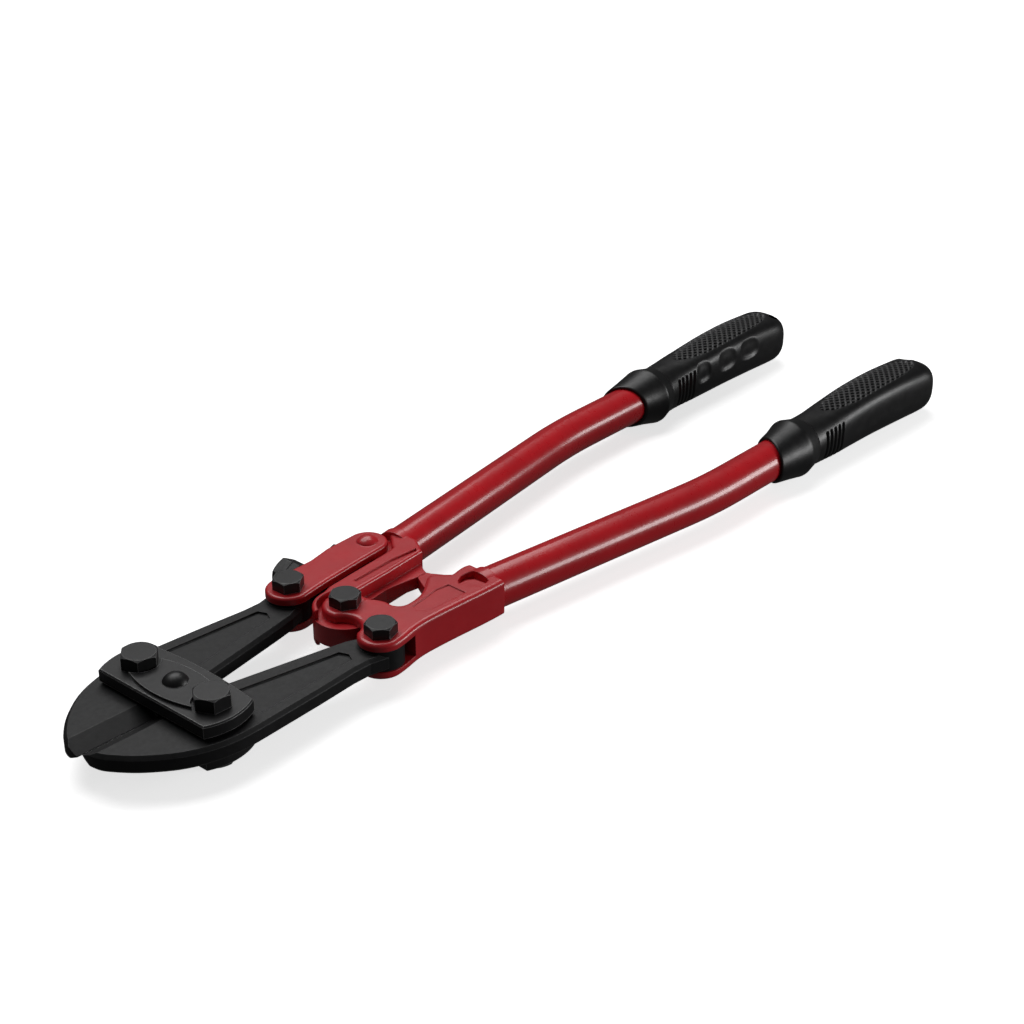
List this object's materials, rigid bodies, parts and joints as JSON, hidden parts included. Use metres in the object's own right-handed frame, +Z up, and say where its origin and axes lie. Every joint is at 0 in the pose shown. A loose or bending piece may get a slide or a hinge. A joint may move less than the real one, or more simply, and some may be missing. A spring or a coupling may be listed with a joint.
{
  "type": "bolt cutter",
  "caption": "Hand bolt cutter with compound lever linkage: short knife-edged jaws between plates, adjustable link, long tubular handles, moulded grips.",
  "frame": {"origin": "centre of the closed tool's bounding box in plan, at the height it rests on", "axes": "+X from the jaw tip towards the grips, +Y towards the handle with the adjusting screws, +Z up"},
  "size_m": [0.4582, 0.1082, 0.0286],
  "materials": {
    "jaw_steel": "satin black oxide",
    "plate_steel": "satin black oxide",
    "bolt_steel": "satin black oxide",
    "red_casting": "gloss enamel over cast surface",
    "red_tube": "gloss enamel",
    "screw_steel": "dark oxide",
    "grip_rubber": "moulded, semi-gloss"
  },
  "bodies": {
    "head": {"plate_top": "plate_steel", "plate_bottom": "plate_steel", "pivot_bolts": "bolt_steel", "pivot_nuts": "bolt_steel", "lock_plate": "plate_steel", "centre_rivet": "bolt_steel"},
    "jaw_far": {"jaw_far": "jaw_steel"},
    "jaw_near": {"jaw_near": "jaw_steel"},
    "handle_far": {"casting_far": "red_casting", "strap_top": "red_casting", "strap_bottom": "red_casting", "link_block": "screw_steel", "link_rivet": "red_casting", "adjust_screws": "screw_steel", "adjust_nut": "screw_steel", "tube_far": "red_tube", "grip_far": "grip_rubber", "tail_far_bolt": "bolt_steel"},
    "handle_near": {"casting_near": "red_casting", "tube_near": "red_tube", "grip_near": "grip_rubber", "tail_near_bolt": "bolt_steel", "centre_bolt": "bolt_steel"}
  },
  "joints": [
    {"name": "jaw_far_pivot", "type": "hinge", "parent": "head", "child": "jaw_far", "pos_m": [-0.1862, 0.02219, 0.0132], "axis": [0, 0, 1], "range_deg": [-6, 0]},
    {"name": "jaw_near_pivot", "type": "hinge", "parent": "head", "child": "jaw_near", "pos_m": [-0.18577, -0.0165, 0.0132], "axis": [0, 0, 1], "range_deg": [0, 6]},
    {"name": "handle_far_pivot", "type": "hinge", "parent": "jaw_far", "child": "handle_far", "pos_m": [-0.11189, 0.02499, 0.0132], "axis": [0, 0, 1], "range_deg": [0, 42]},
    {"name": "handle_near_pivot", "type": "hinge", "parent": "jaw_near", "child": "handle_near", "pos_m": [-0.11189, -0.02499, 0.0132], "axis": [0, 0, 1], "range_deg": [-42, 0]}
  ],
  "couplings": [
    {"joint": "jaw_far_pivot", "follows": "handle_far_pivot", "ratio": -0.14286},
    {"joint": "jaw_near_pivot", "follows": "handle_far_pivot", "ratio": 0.14286},
    {"joint": "handle_near_pivot", "follows": "handle_far_pivot", "ratio": -1}
  ]
}
